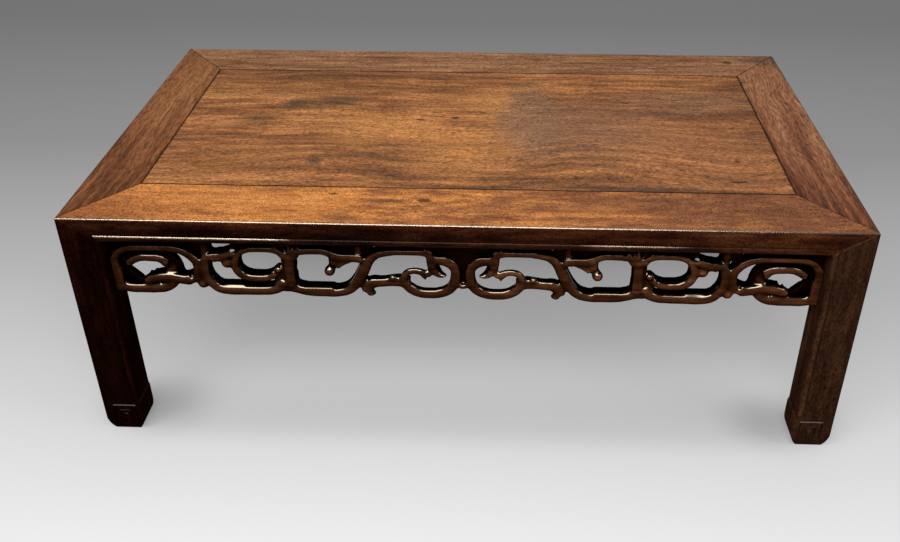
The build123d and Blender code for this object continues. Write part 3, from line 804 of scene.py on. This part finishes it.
def waxed_carving(name, grain):
    """Carved rosewood under old lacquer and wax: reddish on the crowns bared by wear, with painted shade that
    makes the hollows and the sides of the piercings black.
    """
    material, tree = new_material(name)
    place = add(tree, "ShaderNodeTexCoord")
    here = add(tree, "ShaderNodeSeparateXYZ", {0: place.outputs["Object"]})
    facing = add(tree, "ShaderNodeSeparateXYZ", {0: place.outputs["Normal"]})
    face, outward = (-apron_low.y, "Y") if grain == "x" else (-end_apron_low.x, "X")
    reach = add(tree, "ShaderNodeMath", {0: here.outputs[outward]}, operation="ABSOLUTE")
    behind = add(tree, "ShaderNodeMath", {0: face, 1: reach}, operation="SUBTRACT")

    # Streaks of 67 by 4 mm along the board, through the carving, and clouds of 33 mm
    turned = add(tree, "ShaderNodeMapping", {
        "Vector": place.outputs["Object"], "Rotation": GRAIN_TURNS[grain],
    })
    stretched = add(tree, "ShaderNodeVectorMath", {0: turned, 1: (15, 260, 260)}, operation="MULTIPLY")
    streaks = add(tree, "ShaderNodeTexNoise", {
        "Vector": stretched, "Scale": 1.0, "Detail": 4.0, "Roughness": 0.6,
    })
    clouds = add(tree, "ShaderNodeTexNoise", {
        "Vector": place.outputs["Object"], "Scale": 30.0, "Detail": 3.0,
    })
    both = add(tree, "ShaderNodeMath", {0: streaks, 1: clouds}, operation="ADD")
    tone = add(tree, "ShaderNodeMath", {0: both, 1: 0.5}, operation="MULTIPLY")
    wood = add(tree, "ShaderNodeValToRGB", {"Fac": tone}, stops=CARVED_TONES)
    for shade in carving_shades(tree, here, facing, behind, outward):
        wood = add(tree, "ShaderNodeVectorMath", {0: wood, "Scale": shade}, operation="SCALE")

    shader = add(tree, "ShaderNodeBsdfPrincipled", {
        "Base Color": wood,
        "Roughness": 0.17,
        "IOR": 1.7,
        "Specular IOR Level": carving_shine(tree, here, facing, behind),
        "Specular Tint": linear(WARM_WAX),
        "Normal": add(tree, "ShaderNodeBump", {"Height": streaks, "Strength": 0.12, "Distance": 0.3 * MM}),
    })
    add(tree, "ShaderNodeOutputMaterial", {"Surface": shader})
    return material


long_board = carved_board("long_board", apron_high.x, DRAWN_SPAN)
end_board = carved_board("end_board", end_apron_high.y, DRAWN_STEM)
carving_x = waxed_carving("carved_rosewood_long_grain", "x")
carving_y = waxed_carving("carved_rosewood_cross_grain", "y")
hang_apron("front_apron", long_board, 0, 0, apron_low.y, carving_x)
hang_apron("back_apron", long_board, 180, 0, -apron_low.y, carving_x)
hang_apron("left_apron", end_board, -90, end_apron_low.x, 0, carving_y)
hang_apron("right_apron", end_board, 90, -end_apron_low.x, 0, carving_y)
bpy.data.meshes.remove(long_board)
bpy.data.meshes.remove(end_board)


# ------------------------------------------------------------------ finishes of the joinery


def finish(node, material):
    """Gives a CAD node its material."""
    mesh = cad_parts[node].data
    mesh.materials.clear()
    mesh.materials.append(material)


finish("top_panel", aged_rosewood("figured_rosewood_panel", "x", (0.3, 0.1, 0.2), PANEL_TONES, wander=30 * MM,
                                  lift=PANEL_LIFT, marks=PANEL_MARKS, joints=panel_dust))
finish("front_frame_rail", aged_rosewood("rosewood_front_rail", "x", (1.7, 0.6, 0.1), FRONT_TONES, length=0.5,
                                         lean=(-0.38, 0), side_lean=0.32, top_edge_light=1.8, marks=FRONT_MARKS,
                                         bead_wear=FRONT_BEAD_WEAR))
finish("back_frame_rail", aged_rosewood("rosewood_back_rail", "x", (3.1, 1.4, 0.5), BACK_TONES,
                                        marks=BACK_MARKS))
finish("left_frame_rail", aged_rosewood("rosewood_left_rail", "y", (0.4, 2.2, 0.3), LEFT_TONES, length=3.0,
                                        lean=(0, 0.5)))
finish("right_frame_rail", aged_rosewood("rosewood_right_rail", "y", (2.4, 0.2, 0.9), RIGHT_TONES, length=3.0,
                                         lean=(0, 1.0), marks=RIGHT_MARKS))
for node, start, tones in [
    ("front_left_leg", (0.1, 0.3, 0.2), SHADED_LEFT_LEG_TONES),
    ("front_right_leg", (0.9, 1.3, 0.7), LIT_RIGHT_LEG_TONES),
    ("back_left_leg", (1.6, 0.8, 1.4), SHADED_LEFT_LEG_TONES),
    ("back_right_leg", (2.3, 0.5, 1.9), LIT_RIGHT_LEG_TONES),
]:
    finish(node, aged_rosewood("rosewood_" + node, "z", start, tones, sides=tones, top_edge_light=1.0, leg=True))
inner_wood = aged_rosewood("bare_inner_wood", "y", (0.7, 0.7, 0.7), LEFT_TONES, sides=LEFT_TONES)
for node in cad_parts:
    if "batten" in node or "tongues" in node:
        finish(node, inner_wood)


# ------------------------------------------------------------------ floor, light and camera


# Tones of the floor, from in front of the table to far behind it
FLOOR_FRONT = -0.42
FLOOR_BACK = 1.42
FLOOR_TONES = [(0.0, "#e8e8e8"), (0.12, "#d7d7d7"), (0.28, "#bcbcbc"), (0.52, "#9c9b9b"), (0.90, "#868585")]
FLOOR_HALF_SIZE = 12
# Share of the floor that glows by itself to the eye and in what mirrors it
GLOW = 0.6
# The glow takes no shadow, so it is dimmed round the inner corners of the feet and inside the long
# edges. The edges' shade is clear and full at these distances in mm out from the frame's edge.
FOOT_SHADE = 0.36
FOOT_SHADE_HALF_LENGTH = 52.5
FOOT_SHADE_HALF_WIDTH = 36.0
EDGE_SHADE = 0.26
EDGE_SHADE_REACH = [
    ("X", frame_half_length, 10.0, -90.0),
    ("Y", frame_half_depth, 28.5, -25.5),
    ("Y", frame_half_depth, -157.5, -37.5),
]


def floor_glow(tree, place):
    """How strongly the floor glows by itself, with the table's shade taken out of it."""
    folded = add(tree, "ShaderNodeVectorMath", {0: place.outputs["Object"]}, operation="ABSOLUTE")
    inner_corner = ((frame_half_length - leg_width) / MM, (frame_half_depth - leg_width) / MM)
    beside_foot = spot(tree, folded, *inner_corner, FOOT_SHADE_HALF_LENGTH, FOOT_SHADE_HALF_WIDTH,
                       softness=1.0)
    glow = add(tree, "ShaderNodeMath", {0: beside_foot, 1: -FOOT_SHADE, 2: 1.0}, operation="MULTIPLY_ADD")
    across = add(tree, "ShaderNodeSeparateXYZ", {0: folded})
    shade = EDGE_SHADE
    for axis, edge, clear, full in EDGE_SHADE_REACH:
        inside = add(tree, "ShaderNodeMapRange", {
            "Value": across.outputs[axis], "From Min": edge + clear * MM, "From Max": edge + full * MM,
        }, interpolation_type="SMOOTHSTEP")
        shade = add(tree, "ShaderNodeMath", {0: inside, 1: shade}, operation="MULTIPLY")
    return add(tree, "ShaderNodeMath", {0: glow, 1: shade}, operation="SUBTRACT")


def studio_floor():
    """Plain pale paper that falls off to grey behind the table."""
    form = bmesh.new()
    bmesh.ops.create_grid(form, x_segments=1, y_segments=1, size=FLOOR_HALF_SIZE)
    mesh = bpy.data.meshes.new("studio_floor")
    form.to_mesh(mesh)
    form.free()
    floor = bpy.data.objects.new("studio_floor", mesh)
    bpy.context.scene.collection.objects.link(floor)

    material, tree = new_material("pale_paper_floor")
    place = add(tree, "ShaderNodeTexCoord")
    here = add(tree, "ShaderNodeSeparateXYZ", {0: place.outputs["Object"]})
    depth = add(tree, "ShaderNodeMapRange", {
        "Value": here.outputs["Y"], "From Min": FLOOR_FRONT, "From Max": FLOOR_BACK,
    })
    tone = add(tree, "ShaderNodeValToRGB", {"Fac": depth}, stops=FLOOR_TONES)
    paper = add(tree, "ShaderNodeBsdfDiffuse", {"Color": tone})
    glow = add(tree, "ShaderNodeEmission", {"Color": tone, "Strength": floor_glow(tree, place)})
    rays = add(tree, "ShaderNodeLightPath")
    seen = add(tree, "ShaderNodeMath", {0: rays.outputs["Is Camera Ray"], 1: rays.outputs["Is Glossy Ray"]},
               operation="MAXIMUM")
    share = add(tree, "ShaderNodeMath", {0: seen, 1: GLOW}, operation="MULTIPLY")
    mixed = add(tree, "ShaderNodeMixShader", {0: share, 1: paper, 2: glow})
    add(tree, "ShaderNodeOutputMaterial", {"Surface": mixed})
    mesh.materials.append(material)


def soft_lamp(name, place, target, width, depth, power):
    """A rectangular lamp that faces its target."""
    lamp = bpy.data.lights.new(name, "AREA")
    lamp.shape = "RECTANGLE"
    lamp.size = width
    lamp.size_y = depth
    lamp.energy = power
    obj = bpy.data.objects.new(name, lamp)
    obj.location = place
    obj.rotation_euler = (Vector(target) - Vector(place)).to_track_quat("-Z", "Y").to_euler()
    bpy.context.scene.collection.objects.link(obj)


studio_floor()
soft_lamp("front_strip", (-0.32, -1.11, 1.53), (-0.1, -0.2, 0.25), width=1.75, depth=0.7, power=33)
soft_lamp("overhead_softbox", (0.3, 0.2, 2.0), (0, 0, 0.3), width=1.6, depth=1.2, power=9)
soft_lamp("right_softbox", (1.9, -1.0, 1.5), (0.2, 0, 0.1), width=0.8, depth=0.8, power=9)

world = bpy.data.worlds.new("studio")
world.use_nodes = True
background = world.node_tree.nodes["Background"]
background.inputs["Color"].default_value = linear("#ffffff")
background.inputs["Strength"].default_value = 0.12
bpy.context.scene.world = world

# Lens and its shift, in pixels of a picture this wide
IMAGE_WIDTH = 900
FOCAL_PIXELS = 934.3
SHIFT_PIXELS = (-29.6, -94.4)
SENSOR_WIDTH = 36.0
CAMERA_PLACE = (0.0506, -1.0991, 0.8681)
CAMERA_ANGLES = (60.206, 0.053, 2.054)

camera_data = bpy.data.cameras.new("camera")
camera_data.sensor_width = SENSOR_WIDTH
camera_data.lens = FOCAL_PIXELS / IMAGE_WIDTH * SENSOR_WIDTH
camera_data.shift_x, camera_data.shift_y = [shift / IMAGE_WIDTH for shift in SHIFT_PIXELS]
camera = bpy.data.objects.new("camera", camera_data)
camera.location = CAMERA_PLACE
camera.rotation_euler = [math.radians(angle) for angle in CAMERA_ANGLES]
bpy.context.scene.collection.objects.link(camera)
bpy.context.scene.camera = camera
bpy.context.scene.view_settings.view_transform = "Standard"
